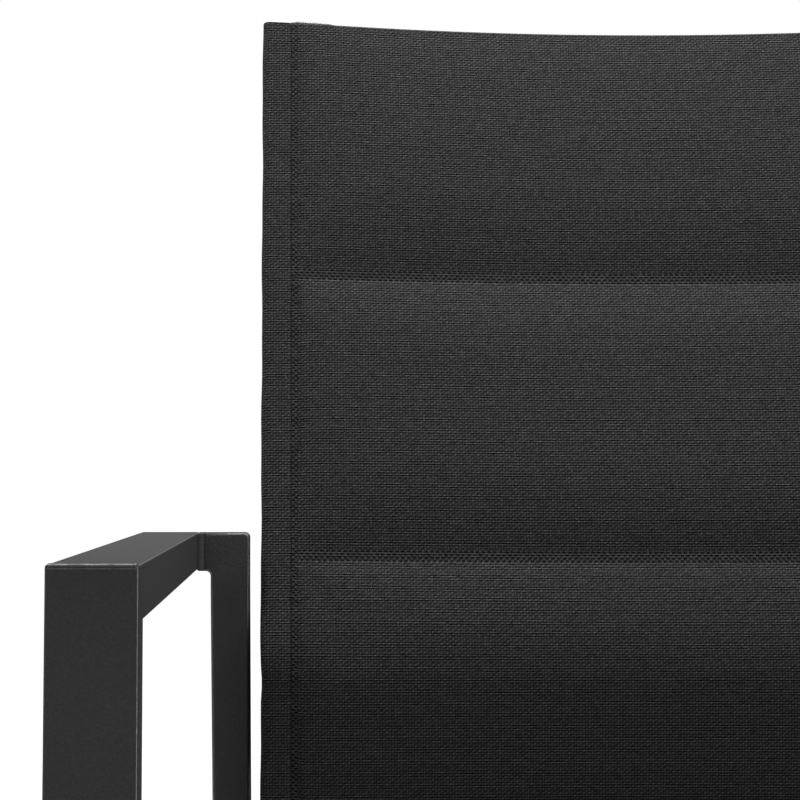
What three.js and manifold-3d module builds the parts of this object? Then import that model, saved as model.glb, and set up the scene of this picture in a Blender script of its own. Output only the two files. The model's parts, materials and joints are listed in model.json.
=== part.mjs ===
// A sling patio chair: a rigid stacking armchair of flat aluminium tube with a padded textile sling.
// Lengths are in millimetres. +Z is up, the sitter faces -Y and the chair is symmetric about X = 0.
// The origin is on the floor, under the middle of the chair. Left and right are the sitter's.

import * as THREE from 'three';
import { mergeVertices } from 'three/addons/utils/BufferGeometryUtils.js';
import Module from 'manifold-3d';

const wasm = await Module();
wasm.setup();

const degrees = Math.PI / 180;

// Fits that all pieces share
const fitGap = 0.3; // between pieces that lie on, in or against each other
const cutOverrun = 2; // how far a cut runs past the wall that it opens
const frameWall = 1.8; // wall of every tube of the frame

// Armrests and front legs: one flat tube, lying as the armrest and standing as the leg
const chairWidth = 579.2;
const armTopHeight = 650;
const armLength = 440;
const armTubeWidth = 32;
const armTubeThickness = 20;
const armCornerRadius = 1;
const frontLegSlant = 5 * degrees;
const armCapFlange = 2.5;
const armCapPlug = 14;

// Rear legs: each turns outward at its top and meets the armrest's inner side
const rearLegGap = 6.8; // from the armrest's inner side to the leg
const rearLegWidth = 21.2;
const rearLegDepth = 20;
const rearLegHeadHeight = 20.8;
const rearLegCornerRadius = 2;
const headBendRadius = 2.5; // of the turn to the armrest, inside and outside alike
const kneeDrop = 8; // from that turn down to where the leg starts to slant
const rearLegSlant = 11.8 * degrees;

// Foot glides
const glideHeight = 5;
const glidePlug = 18;
const glideChamfer = 1;

// The line that the sling's front face follows at its sides, from the top down to the seat's front
const slingTopHeight = 946;
const backRecline = 13.7 * degrees;
const lumbarHeight = 583; // where the reclined and the upright stretch would meet
const lumbarRadius = 92;
const slingAheadOfLegs = 3.6; // from the rear legs' front face forward to the sling
const seatBendRadius = 70;
const seatRearHeight = 402;
const seatSlope = 4 * degrees; // the seat rises to the front
const frontRollRadius = 48;
const frontRollAngle = 35 * degrees;

// The sling: two layers of cloth, padding in welded channels, and a sleeve round each rail
const slingClearance = 5.9; // from the rear legs' inner sides to the sling's edges
const clothThickness = 1.2;
const weldInset = 18.4; // from the sling's edge to the middle of the weld along each rail
const weldBandWidth = 4.4;
const channelWeldWidth = 6; // of the welds across the sling
const topChannelLength = 156;
const backChannelLength = 162;
const backChannelCount = 2; // below the top channel
const seatChannelCount = 4; // these share the rest of the sling evenly
const topSag = 12.5; // how far the middle hangs behind the rails, at the top edge
const lumbarSag = 5; // the same at the lumbar bend and down to the seat's bend
const seatSag = 12;
const topEdgeDip = 1.7; // how far the middle of the top edge hangs lower
const frontCrown = 4; // how far a channel stands proud in front
const backCrown = 5;
const padEdgeThickness = 1.2;

// Rails in the sleeves
const railWidth = 14;
const railDepth = 25;
const railCornerRadius = 4;
const railCapInset = 1; // of the cap's face inside the sleeve
const railCapFlange = 2.5;
const railCapPlug = 12;

// Crossbars under the seat, and the bar behind the back
const crossbarWidth = 20; // along the seat
const crossbarHeight = 20;
const crossbarCornerRadius = 2;
const crossbarBow = 45;
const bowMargin = 10; // from the sleeve to where a bar starts to bow
const rearCrossbarSetback = 34; // from the seat bend's end forward to the bar's middle
const topBarHeight = 20;
const topBarDepth = 12;
const topBarCornerRadius = 4;
const topBarBow = 35;
const topBarDrop = 60; // from the sling's top edge down to the bar's middle
const topBarCapFlange = 2;
const topBarCapPlug = 2; // short, because the bolt runs through the bar close to its end

// Saddles between the rails and the crossbars
const saddleLength = 20;
const saddleWidth = 21;
const saddleThickness = 6;
const saddleLip = 3; // how far its sides reach up the sleeve's rounded corners
const saddleRollClearance = 0.6; // from the front saddle to where the rail rolls down

// Bolts, washers and the threaded inserts in the rails
const boltRadius = 3;
const boltHeadRadius = 5.5;
const boltHeadHeight = 3.3;
const boltSocketRadius = 2;
const boltSocketDepth = 1.8;
const boltGrip = 9; // how far the bolt reaches into its insert
const washerRadius = 7;
const washerThickness = 1.2;
const insertLength = 12;
const insertWall = 1.4;
const insertRecess = 1; // of its mouth in the rail's back, where the rail's corners fall away

// How finely round stretches are divided
const outlineCornerSteps = 2;
const bendStep = 15 * degrees;
const bowSteps = 8;
const roundSides = 10;

// Places of the grid lines on a channel, along it and across it, as shares of its length and half width
const channelRowShares = [0, 0.1, 0.35, 0.65, 0.9, 1];
const channelColumnShares = [0, 0.35, 0.7, 0.93, 1];
const crownSideSharePower = 6; // how squarely a channel's crown falls off at its two ends
const innerCornerShare = 0.2; // of the wall, for the least corner radius in a tube's bore
const boltHeadRimShare = 0.45;
const boltHeadCrownShare = 0.62;

// Places that follow from the sizes above
const armOuterX = chairWidth / 2;
const armInnerX = armOuterX - armTubeWidth;
const rearLegOuterX = armInnerX - rearLegGap;
const rearLegInnerX = rearLegOuterX - rearLegWidth;
const kneeHeight = armTopHeight - rearLegHeadHeight - headBendRadius - kneeDrop;
const frontReach = Math.tan(frontLegSlant) * armTopHeight;
const rearReach = Math.tan(rearLegSlant) * (kneeHeight + rearLegDepth * Math.tan(rearLegSlant / 2));
const armFrontY = (frontReach - armLength - rearReach) / 2;
const armRearY = armFrontY + armLength;
const rearLegFrontY = armRearY - rearLegDepth;

const slingHalfWidth = rearLegInnerX - slingClearance;
const sleeveWall = clothThickness + fitGap;
const sleeveDepth = railDepth + 2 * sleeveWall;
const railX = slingHalfWidth - sleeveWall - railWidth / 2;
const railMiddle = -sleeveWall - railDepth / 2; // behind the sling's front face
const sleeveInnerX = railX - railWidth / 2 - sleeveWall;
const weldOuterX = slingHalfWidth - weldInset + weldBandWidth / 2;
const weldInnerX = weldOuterX - weldBandWidth;
const padHalfWidth = weldInnerX - fitGap;
const backLayerFace = -(2 * clothThickness + 2 * fitGap); // the back layer's inner face at a weld
const underSleeve = -sleeveDepth - fitGap; // the saddles' and the top bar's face, behind the line
const crossbarTop = underSleeve - saddleThickness - fitGap;
const crossbarMiddle = crossbarTop - crossbarHeight / 2;

const X_AXIS = new THREE.Vector3(1, 0, 0);
const FLOOR_NORMAL = new THREE.Vector3(0, 0, 1);

// The sling's line is a chain of straight stretches and arcs. Its heading is 0 where the line runs
// straight down and grows as it turns towards the seat's front.
const slingLine = buildSlingLine();
const [, lumbar, , seatBend, seat, frontRoll] = slingLine;
const slingEnd = frontRoll.start + frontRoll.length;

function buildSlingLine() {
  const lumbarTangent = lumbarRadius * Math.tan(backRecline / 2);
  const reclined = (slingTopHeight - lumbarHeight) / Math.cos(backRecline) - lumbarTangent;
  const upright = lumbarHeight - lumbarTangent - seatBendRadius - seatRearHeight;
  const seatTurn = Math.PI / 2 + seatSlope;
  const backReach = reclined * Math.sin(backRecline) + lumbarRadius * (1 - Math.cos(backRecline));
  const stretches = [];
  let place = {
    start: 0,
    y: rearLegFrontY - slingAheadOfLegs + backReach,
    z: slingTopHeight,
    heading: backRecline,
  };
  const addStretch = (length, turn) => {
    const stretch = { length, turn, ...place };
    stretches.push(stretch);
    place = { start: stretch.start + length, ...followStretch(stretch, length) };
  };
  addStretch(reclined, 0);
  addStretch(lumbarRadius * backRecline, -backRecline);
  addStretch(upright, 0);
  addStretch(seatBendRadius * seatTurn, seatTurn);
  addStretch(reachToFrontLegs(place) + saddleLength / 2 + saddleRollClearance, 0);
  addStretch(frontRollRadius * frontRollAngle, -frontRollAngle);
  return stretches;
}

// How far the seat runs on from a place until the crossbar under it meets the front legs' middle
function reachToFrontLegs({ y, z, heading }) {
  const barY = y - crossbarMiddle * Math.cos(heading);
  const barZ = z + crossbarMiddle * Math.sin(heading);
  const legCos = Math.cos(frontLegSlant);
  const legSin = Math.sin(frontLegSlant);
  const behind = (barY - armFrontY) * legCos - (barZ - armTopHeight) * legSin - armTubeThickness / 2;
  return behind / Math.sin(heading - frontLegSlant);
}

// Where a stretch of the line has got to after some length, and its heading there
function followStretch(stretch, length) {
  const { y, z, heading, turn } = stretch;
  if (turn === 0) {
    return { y: y - length * Math.sin(heading), z: z - length * Math.cos(heading), heading };
  }
  const radius = stretch.length / turn;
  const now = heading + length / radius;
  return {
    y: y + radius * (Math.cos(now) - Math.cos(heading)),
    z: z - radius * (Math.sin(now) - Math.sin(heading)),
    heading: now,
  };
}

function slingLineAt(s) {
  const later = slingLine.filter((stretch) => stretch.start <= s);
  const stretch = later[Math.max(later.length - 1, 0)] ?? slingLine[0];
  return followStretch(stretch, s - stretch.start);
}

// A point at x across the chair, s along the sling's line and height in front of it
function slingPlace(x, s, height) {
  const { y, z, heading } = slingLineAt(s);
  return new THREE.Vector3(x, y - height * Math.cos(heading), z + height * Math.sin(heading));
}

// The same for a piece that stays straight where the line bends: along counts on from its middle
function straightPlace(x, s, along, height) {
  const { heading } = slingLineAt(s);
  const point = slingPlace(x, s, height);
  point.y -= along * Math.sin(heading);
  point.z -= along * Math.cos(heading);
  return point;
}

// The ends of every stretch and even steps round every arc, between two places on the line
function lineStations(from, to, extra = []) {
  const stations = [from, to, ...extra];
  for (const { start, length, turn } of slingLine) {
    const steps = Math.max(1, Math.ceil(Math.abs(turn) / bendStep));
    for (let i = 0; i <= steps; i++) stations.push(start + (length * i) / steps);
  }
  return tidyStations(stations, from, to);
}

// In order, inside the two limits, and without places that lie closer together than a fit
function tidyStations(stations, from, to) {
  const inside = stations.filter((s) => s >= from && s <= to).sort((a, b) => a - b);
  return inside.filter((s, i) => i === 0 || s - inside[i - 1] > fitGap / 2);
}

// Outlines: lists of points round a tube, all made alike, so that their points match one to one

function roundedOutline(width, height, radius) {
  const points = [];
  const corners = [[1, 1], [-1, 1], [-1, -1], [1, -1]];
  corners.forEach(([sx, sy], corner) => {
    for (let i = 0; i <= outlineCornerSteps; i++) {
      const angle = (corner + i / outlineCornerSteps) * (Math.PI / 2);
      points.push(new THREE.Vector2(
        sx * (width / 2 - radius) + radius * Math.cos(angle),
        sy * (height / 2 - radius) + radius * Math.sin(angle),
      ));
    }
  });
  return points;
}

// The outline of a tube's bore, and of a plug that fits it
function insetOutline(width, height, radius, inset) {
  const inner = Math.max(radius - inset, frameWall * innerCornerShare);
  return roundedOutline(width - 2 * inset, height - 2 * inset, inner);
}

// Bodies

function closedBody(points, faces) {
  const positions = points.flatMap((p) => [p.x, p.y, p.z]);
  const geometry = new THREE.BufferGeometry();
  geometry.setAttribute('position', new THREE.Float32BufferAttribute(positions, 3));
  const outward = enclosedVolume(points, faces) > 0;
  geometry.setIndex(faces.flatMap(([a, b, c]) => (outward ? [a, b, c] : [a, c, b])));
  geometry.computeVertexNormals();
  return geometry;
}

function enclosedVolume(points, faces) {
  const cross = new THREE.Vector3();
  let volume = 0;
  for (const [a, b, c] of faces) {
    volume += points[a].dot(cross.crossVectors(points[b], points[c])) / 6;
  }
  return volume;
}

// The solid between two grids of points that match row by row. A looped grid closes on itself, as a
// tube's wall does; an open one, such as a sheet of cloth, gets a rim on all four sides.
function wallBetween(outer, inner, looped) {
  const rows = outer.length;
  const columns = outer[0].length;
  const points = [...outer.flat(), ...inner.flat()];
  const faces = [];
  const quad = (a, b, c, d) => faces.push([a, b, c], [a, c, d]);
  const out = (i, j) => i * columns + (j % columns);
  const back = (i, j) => rows * columns + out(i, j);
  const spans = looped ? columns : columns - 1;
  for (let i = 0; i < rows - 1; i++) {
    for (let j = 0; j < spans; j++) {
      quad(out(i, j), out(i, j + 1), out(i + 1, j + 1), out(i + 1, j));
      quad(back(i, j), back(i + 1, j), back(i + 1, j + 1), back(i, j + 1));
    }
    if (!looped) {
      quad(out(i, 0), out(i + 1, 0), back(i + 1, 0), back(i, 0));
      quad(out(i + 1, spans), out(i, spans), back(i, spans), back(i + 1, spans));
    }
  }
  const last = rows - 1;
  for (let j = 0; j < spans; j++) {
    quad(out(0, j + 1), out(0, j), back(0, j), back(0, j + 1));
    quad(out(last, j), out(last, j + 1), back(last, j + 1), back(last, j));
  }
  return closedBody(points, faces);
}

// A solid through rings of points, with flat ends
function loft(rings) {
  const columns = rings[0].length;
  const points = rings.flat();
  const faces = [];
  for (let i = 0; i < rings.length - 1; i++) {
    for (let j = 0; j < columns; j++) {
      const next = (j + 1) % columns;
      const [a, b] = [i * columns + j, i * columns + next];
      faces.push([a, b, b + columns], [a, b + columns, a + columns]);
    }
  }
  const last = (rings.length - 1) * columns;
  for (let j = 1; j < columns - 1; j++) {
    faces.push([0, j + 1, j], [last, last + j, last + j + 1]);
  }
  return closedBody(points, faces);
}

function solidOf(geometry) {
  const bare = geometry.clone();
  bare.deleteAttribute('normal');
  bare.deleteAttribute('uv');
  const merged = mergeVertices(bare);
  const vertProperties = new Float32Array(merged.attributes.position.array);
  const triVerts = new Uint32Array(merged.index.array);
  return new wasm.Manifold(new wasm.Mesh({ numProp: 3, vertProperties, triVerts }));
}

function cutAway(geometry, tools) {
  let solid = solidOf(geometry);
  for (const tool of tools) solid = solid.subtract(solidOf(tool));
  const { vertProperties, triVerts } = solid.getMesh();
  const made = new THREE.BufferGeometry();
  made.setAttribute('position', new THREE.Float32BufferAttribute(vertProperties, 3));
  made.setIndex([...triVerts]);
  made.computeVertexNormals();
  return made;
}

// Where lines through an outline meet a plane. The frame has the outline's middle, its two
// directions and the direction that the tube runs in.
function ringOnPlane(outline, frame, plane) {
  return outline.map((p) => {
    const start = frame.middle.clone()
      .addScaledVector(frame.across, p.x)
      .addScaledVector(frame.up, p.y);
    const travel = -plane.distanceToPoint(start) / plane.normal.dot(frame.along);
    return start.addScaledVector(frame.along, travel);
  });
}

function planeThrough(point, normal) {
  return new THREE.Plane().setFromNormalAndCoplanarPoint(normal.clone().normalize(), point);
}

// A level plane at some height above the floor
function levelPlane(height) {
  return new THREE.Plane(FLOOR_NORMAL, -height);
}

function straightTube(outlines, frame, startPlane, endPlane) {
  const [outer, bore] = outlines.map((outline) => [
    ringOnPlane(outline, frame, startPlane),
    ringOnPlane(outline, frame, endPlane),
  ]);
  return wallBetween(outer, bore, true);
}

// A plug with a flange: each step gives the outline and the plane where it has got to
function steppedPlug(steps, frame) {
  return loft(steps.map(([outline, plane]) => ringOnPlane(outline, frame, plane)));
}

// Materials

function powderCoat() {
  return new THREE.MeshStandardMaterial({ color: 0x35363a, roughness: 0.55, metalness: 0.25 });
}

function slingCloth() {
  return new THREE.MeshStandardMaterial({ color: 0x303134, roughness: 0.85, metalness: 0 });
}

function paddingFoam() {
  return new THREE.MeshStandardMaterial({ color: 0xb9bab8, roughness: 0.95, metalness: 0 });
}

function blackPlastic() {
  return new THREE.MeshStandardMaterial({ color: 0x1c1d1f, roughness: 0.6, metalness: 0 });
}

function boltSteel() {
  return new THREE.MeshStandardMaterial({ color: 0x8d9093, roughness: 0.35, metalness: 0.9 });
}

// Frames for the tubes of one side, where side is 1 for the left and -1 for the right

const legDown = new THREE.Vector3(0, -Math.sin(frontLegSlant), -Math.cos(frontLegSlant));
const legRearward = new THREE.Vector3(0, Math.cos(frontLegSlant), -Math.sin(frontLegSlant));
const rearLegDown = new THREE.Vector3(0, Math.sin(rearLegSlant), -Math.cos(rearLegSlant));
const rearLegForward = new THREE.Vector3(0, -Math.cos(rearLegSlant), -Math.sin(rearLegSlant));
const armAlong = new THREE.Vector3(0, 1, 0);

const armOutlines = [
  roundedOutline(armTubeWidth, armTubeThickness, armCornerRadius),
  insetOutline(armTubeWidth, armTubeThickness, armCornerRadius, frameWall),
];
const armPlugOutline = insetOutline(
  armTubeWidth, armTubeThickness, armCornerRadius, frameWall + fitGap);

function armFrame(side) {
  const x = side * (armInnerX + armTubeWidth / 2);
  return {
    middle: new THREE.Vector3(x, armFrontY, armTopHeight - armTubeThickness / 2),
    across: X_AXIS,
    up: FLOOR_NORMAL,
    along: armAlong,
  };
}

function frontLegFrame(side) {
  const x = side * (armInnerX + armTubeWidth / 2);
  const corner = new THREE.Vector3(x, armFrontY, armTopHeight);
  return {
    middle: corner.addScaledVector(legRearward, armTubeThickness / 2),
    across: X_AXIS,
    up: legRearward,
    along: legDown,
  };
}

// The plane where armrest and front leg meet, moved to one side of the joint
function mitrePlane(offset) {
  const normal = armAlong.clone().sub(legDown).normalize();
  const corner = new THREE.Vector3(0, armFrontY, armTopHeight);
  return planeThrough(corner.addScaledVector(normal, offset), normal);
}

function armrest(side) {
  const end = armRearY - armCapFlange - fitGap;
  const endPlane = planeThrough(new THREE.Vector3(0, end, 0), armAlong);
  return straightTube(armOutlines, armFrame(side), mitrePlane(fitGap / 2), endPlane);
}

function armrestCap(side) {
  const planeAt = (y) => planeThrough(new THREE.Vector3(0, y, 0), armAlong);
  const faceInset = armCapFlange / 2;
  const face = insetOutline(armTubeWidth, armTubeThickness, armCornerRadius, faceInset);
  return steppedPlug([
    [face, planeAt(armRearY)],
    [armOutlines[0], planeAt(armRearY - faceInset)],
    [armOutlines[0], planeAt(armRearY - armCapFlange)],
    [armPlugOutline, planeAt(armRearY - armCapFlange)],
    [armPlugOutline, planeAt(armRearY - armCapFlange - armCapPlug)],
  ], armFrame(side));
}

function frontLeg(side) {
  return straightTube(
    armOutlines, frontLegFrame(side), mitrePlane(-fitGap / 2), levelPlane(glideHeight));
}

// A glide stands level on the floor and its plug runs up the leg
function footGlide(outline, soleOutline, plugOutline, frame) {
  return steppedPlug([
    [soleOutline, levelPlane(0)],
    [outline, levelPlane(glideChamfer)],
    [outline, levelPlane(glideHeight - fitGap)],
    [plugOutline, levelPlane(glideHeight - fitGap)],
    [plugOutline, levelPlane(glideHeight + glidePlug)],
  ], frame);
}

function frontGlide(side) {
  const sole = insetOutline(armTubeWidth, armTubeThickness, armCornerRadius, glideChamfer);
  return footGlide(armOutlines[0], sole, armPlugOutline, frontLegFrame(side));
}

const rearLegOutline = roundedOutline(rearLegWidth, rearLegDepth, rearLegCornerRadius);
const rearPlugOutline = insetOutline(
  rearLegWidth, rearLegDepth, rearLegCornerRadius, frameWall + fitGap);

function rearLegFrame(side) {
  const x = side * (rearLegOuterX + rearLegInnerX) / 2;
  const knee = new THREE.Vector3(x, rearLegFrontY, kneeHeight);
  return {
    middle: knee.addScaledVector(rearLegForward, -rearLegDepth / 2),
    across: X_AXIS,
    up: rearLegForward,
    along: rearLegDown,
  };
}

// The plane where the rear leg leaves the upright
function kneePlane() {
  const bisector = new THREE.Vector3(0, 0, -1).add(rearLegDown);
  return planeThrough(new THREE.Vector3(0, rearLegFrontY, kneeHeight), bisector);
}

// Rings round the rear leg's head, from the armrest's side through the turn to the upright. A ring
// lies between a point of the turn's outside and the matching point of its inside.
function headRings(side, inset) {
  const top = armTopHeight;
  const under = armTopHeight - rearLegHeadHeight;
  const spans = [[
    [armInnerX - fitGap, top],
    [armInnerX - fitGap, under],
  ]];
  const turnSteps = 2 * outlineCornerSteps;
  for (let i = 0; i <= turnSteps; i++) {
    const angle = (i / turnSteps) * (Math.PI / 2);
    const dx = headBendRadius * (1 - Math.sin(angle));
    const dz = headBendRadius * (1 - Math.cos(angle));
    spans.push([
      [rearLegInnerX + dx, top - dz],
      [rearLegOuterX + dx, under - dz],
    ]);
  }
  return spans.map(([[outX, outZ], [inX, inZ]]) => {
    const length = Math.hypot(inX - outX, inZ - outZ);
    const radius = Math.max(rearLegCornerRadius - inset, frameWall * innerCornerShare);
    const outline = roundedOutline(length - 2 * inset, rearLegDepth - 2 * inset, radius);
    return outline.map((p) => {
      const share = p.x / length + 1 / 2;
      return new THREE.Vector3(
        side * (outX + (inX - outX) * share),
        rearLegFrontY + rearLegDepth / 2 - p.y,
        outZ + (inZ - outZ) * share,
      );
    });
  });
}

function rearLeg(side) {
  const down = { ...rearLegFrame(side), across: X_AXIS.clone().multiplyScalar(side) };
  const [outer, bore] = [0, frameWall].map((inset) => {
    const outline = inset === 0
      ? rearLegOutline
      : insetOutline(rearLegWidth, rearLegDepth, rearLegCornerRadius, inset);
    return [
      ...headRings(side, inset),
      ringOnPlane(outline, down, kneePlane()),
      ringOnPlane(outline, down, levelPlane(glideHeight)),
    ];
  });
  return wallBetween(outer, bore, true);
}

function rearGlide(side) {
  const sole = insetOutline(rearLegWidth, rearLegDepth, rearLegCornerRadius, glideChamfer);
  return footGlide(rearLegOutline, sole, rearPlugOutline, rearLegFrame(side));
}

// Bars that carry the rails. Their outline lies across the sling's line, with its width along it.

const frontCrossbarAt = frontRoll.start - saddleRollClearance - saddleLength / 2;
const rearCrossbarAt = seat.start + rearCrossbarSetback;
const topBarMiddle = underSleeve - topBarDepth / 2;
const bowHalfWidth = sleeveInnerX - bowMargin;

const crossbarOutlines = [
  roundedOutline(crossbarWidth, crossbarHeight, crossbarCornerRadius),
  insetOutline(crossbarWidth, crossbarHeight, crossbarCornerRadius, frameWall),
];
const topBarOutlines = [
  roundedOutline(topBarHeight, topBarDepth, topBarCornerRadius),
  insetOutline(topBarHeight, topBarDepth, topBarCornerRadius, frameWall),
];

// A ring across a bar that bows away from the sling between the rails
function bowedRing(outline, x, s, middle, bow) {
  const inBow = Math.abs(x) < bowHalfWidth;
  const phase = (Math.PI * x) / bowHalfWidth;
  const offset = inBow ? -(bow / 2) * (1 + Math.cos(phase)) : 0;
  const slope = inBow ? (bow / 2) * (Math.PI / bowHalfWidth) * Math.sin(phase) : 0;
  const tilt = Math.atan(slope);
  return outline.map((p) => straightPlace(
    x - p.y * Math.sin(tilt), s, p.x, middle + offset + p.y * Math.cos(tilt)));
}

function bowedBar(outlines, halfLength, s, middle, bow) {
  const stations = [-halfLength];
  for (let i = 0; i <= bowSteps; i++) stations.push(bowHalfWidth * ((2 * i) / bowSteps - 1));
  stations.push(halfLength);
  const [outer, bore] = outlines.map((outline) => (
    stations.map((x) => bowedRing(outline, x, s, middle, bow))));
  return wallBetween(outer, bore, true);
}

function crossbar(halfLength, s) {
  const bar = bowedBar(crossbarOutlines, halfLength, s, crossbarMiddle, crossbarBow);
  return cutAway(bar, boltCuts(s, crossbarMiddle, crossbarHeight, boltRadius + fitGap));
}

const topBarHalfLength = slingHalfWidth - topBarCapFlange - fitGap;

function topBar() {
  const bar = bowedBar(topBarOutlines, topBarHalfLength, topBarDrop, topBarMiddle, topBarBow);
  return cutAway(bar, boltCuts(topBarDrop, topBarMiddle, topBarDepth, boltRadius + fitGap));
}

function topBarCap(side) {
  const plug = insetOutline(topBarHeight, topBarDepth, topBarCornerRadius, frameWall + fitGap);
  const faceInset = topBarCapFlange / 2;
  const face = insetOutline(topBarHeight, topBarDepth, topBarCornerRadius, faceInset);
  const inner = topBarHalfLength + fitGap;
  const steps = [
    [face, slingHalfWidth],
    [topBarOutlines[0], slingHalfWidth - faceInset],
    [topBarOutlines[0], inner],
    [plug, inner],
    [plug, inner - topBarCapPlug],
  ];
  return loft(steps.map(([outline, x]) => (
    bowedRing(outline, side * x, topBarDrop, topBarMiddle, topBarBow))));
}

// The tube along the seat's side, from the front crossbar to the rear leg
function seatSideTube(side) {
  const { heading } = slingLineAt(frontCrossbarAt);
  const x = side * (rearLegOuterX + rearLegInnerX) / 2;
  const frame = {
    middle: slingPlace(x, frontCrossbarAt, crossbarMiddle),
    across: X_AXIS,
    up: new THREE.Vector3(0, -Math.cos(heading), Math.sin(heading)),
    along: new THREE.Vector3(0, Math.sin(heading), Math.cos(heading)),
  };
  const barFace = slingPlace(0, frontCrossbarAt - crossbarWidth / 2 - fitGap, 0);
  const legFace = new THREE.Vector3(0, rearLegFrontY, kneeHeight)
    .addScaledVector(rearLegForward, fitGap);
  const outlines = [
    roundedOutline(rearLegWidth, crossbarHeight, rearLegCornerRadius),
    insetOutline(rearLegWidth, crossbarHeight, rearLegCornerRadius, frameWall),
  ];
  return straightTube(
    outlines, frame, planeThrough(barFace, frame.along), planeThrough(legFace, rearLegForward));
}

// Rails, their caps and the holes for their inserts

const railStart = railCapInset + railCapFlange + fitGap;
const railEnd = slingEnd - railStart;

function railRing(side, outline, s) {
  return outline.map((p) => slingPlace(side * (railX + p.x), s, railMiddle + p.y));
}

function slingRail(side) {
  const outlines = [
    roundedOutline(railWidth, railDepth, railCornerRadius),
    insetOutline(railWidth, railDepth, railCornerRadius, frameWall),
  ];
  const stations = lineStations(railStart, railEnd);
  const [outer, bore] = outlines.map((outline) => (
    stations.map((s) => railRing(side, outline, s))));
  const inserts = boltPlaces.map((s) => (
    holeTool(side, s, railMiddle - railDepth / 2, frameWall, insertOuterRadius + fitGap)));
  return cutAway(wallBetween(outer, bore, true), inserts);
}

// A cap in a rail's end. Inward is 1 at the top end and -1 at the front end.
function railCap(side, face, inward) {
  const outline = roundedOutline(railWidth, railDepth, railCornerRadius);
  const plug = insetOutline(railWidth, railDepth, railCornerRadius, frameWall + fitGap);
  const faceInset = railCapFlange / 2;
  const rim = insetOutline(railWidth, railDepth, railCornerRadius, faceInset);
  const steps = [
    [rim, 0],
    [outline, faceInset],
    [outline, railCapFlange],
    [plug, railCapFlange],
    [plug, railCapFlange + railCapPlug / 2],
    [plug, railCapFlange + railCapPlug],
  ];
  return loft(steps.map(([shape, depth]) => railRing(side, shape, face + inward * depth)));
}

// Bolts through the bars into the rails

const boltPlaces = [topBarDrop, rearCrossbarAt, frontCrossbarAt];
const insertOuterRadius = boltRadius + fitGap + insertWall;

// Turns a shape's Z axis to the sling's front and moves it to its place behind the line
function placementOnRail(side, s, height) {
  const { heading } = slingLineAt(s);
  const forward = new THREE.Vector3(0, -Math.cos(heading), Math.sin(heading));
  const sideways = new THREE.Vector3().crossVectors(forward, X_AXIS);
  const matrix = new THREE.Matrix4().makeBasis(X_AXIS, sideways, forward);
  return matrix.setPosition(slingPlace(side * railX, s, height));
}

// A cylinder that opens a wall from its back face, with an overrun on both sides
function holeTool(side, s, backFace, thickness, radius) {
  const tool = new THREE.CylinderGeometry(radius, radius, thickness + 2 * cutOverrun, roundSides);
  tool.rotateX(Math.PI / 2);
  return tool.applyMatrix4(placementOnRail(side, s, backFace + thickness / 2));
}

function boltCuts(s, middle, thickness, radius) {
  return [1, -1].map((side) => holeTool(side, s, middle - thickness / 2, thickness, radius));
}

// A turned shape about Z, from a profile of radius and height
function turned(profile) {
  const points = profile.map(([radius, height]) => new THREE.Vector2(radius, height));
  return new THREE.LatheGeometry(points, roundSides).rotateX(Math.PI / 2);
}

// The bolt's head rests at z = 0 and its shank points to +Z
function bolt(length) {
  return turned([
    [0, boltSocketDepth - boltHeadHeight],
    [boltSocketRadius, boltSocketDepth - boltHeadHeight],
    [boltSocketRadius, -boltHeadHeight],
    [boltHeadRadius * boltHeadCrownShare, -boltHeadHeight],
    [boltHeadRadius, -boltHeadHeight * boltHeadRimShare],
    [boltHeadRadius, 0],
    [boltRadius, 0],
    [boltRadius, length],
    [0, length],
  ]);
}

function ringShape(innerRadius, outerRadius, length) {
  return turned([
    [innerRadius, 0],
    [outerRadius, 0],
    [outerRadius, length],
    [innerRadius, length],
    [innerRadius, 0],
  ]);
}

// The saddle cradles the sleeve's rounded underside
function saddle(side, s) {
  const cornerRadius = railCornerRadius + sleeveWall + fitGap;
  const flat = railWidth / 2 - railCornerRadius;
  const lipAngle = Math.acos(1 - saddleLip / cornerRadius);
  const shape = new THREE.Shape();
  shape.moveTo(-saddleWidth / 2, 0);
  shape.lineTo(saddleWidth / 2, 0);
  shape.lineTo(saddleWidth / 2, saddleThickness + saddleLip);
  const corner = (end, from, to) => {
    const centreY = saddleThickness + cornerRadius;
    shape.absarc(end * flat, centreY, cornerRadius, from, to, true);
  };
  corner(1, lipAngle - Math.PI / 2, -Math.PI / 2);
  corner(-1, -Math.PI / 2, -Math.PI / 2 - lipAngle);
  shape.lineTo(-saddleWidth / 2, saddleThickness + saddleLip);
  const body = new THREE.ExtrudeGeometry(shape, {
    depth: saddleLength,
    bevelEnabled: false,
    curveSegments: outlineCornerSteps,
  });
  body.translate(0, 0, -saddleLength / 2).rotateX(Math.PI / 2);
  body.applyMatrix4(placementOnRail(side, s, underSleeve - saddleThickness));
  const hole = holeTool(
    side, s, underSleeve - saddleThickness, saddleThickness, boltRadius + fitGap);
  return cutAway(body, [hole]);
}

// The sling

const weldBandHalf = channelWeldWidth / 2;
const channels = buildChannels();

// Where each padded channel starts and ends along the line, clear of the welds
function buildChannels() {
  const welds = [0, topChannelLength];
  for (let i = 0; i < backChannelCount; i++) welds.push(welds.at(-1) + backChannelLength);
  const seatChannelLength = (slingEnd - welds.at(-1)) / seatChannelCount;
  for (let i = 0; i < seatChannelCount; i++) welds.push(welds.at(-1) + seatChannelLength);
  return welds.slice(1).map((end, i) => ({
    from: welds[i] + weldBandHalf,
    to: end - weldBandHalf,
  }));
}

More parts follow.
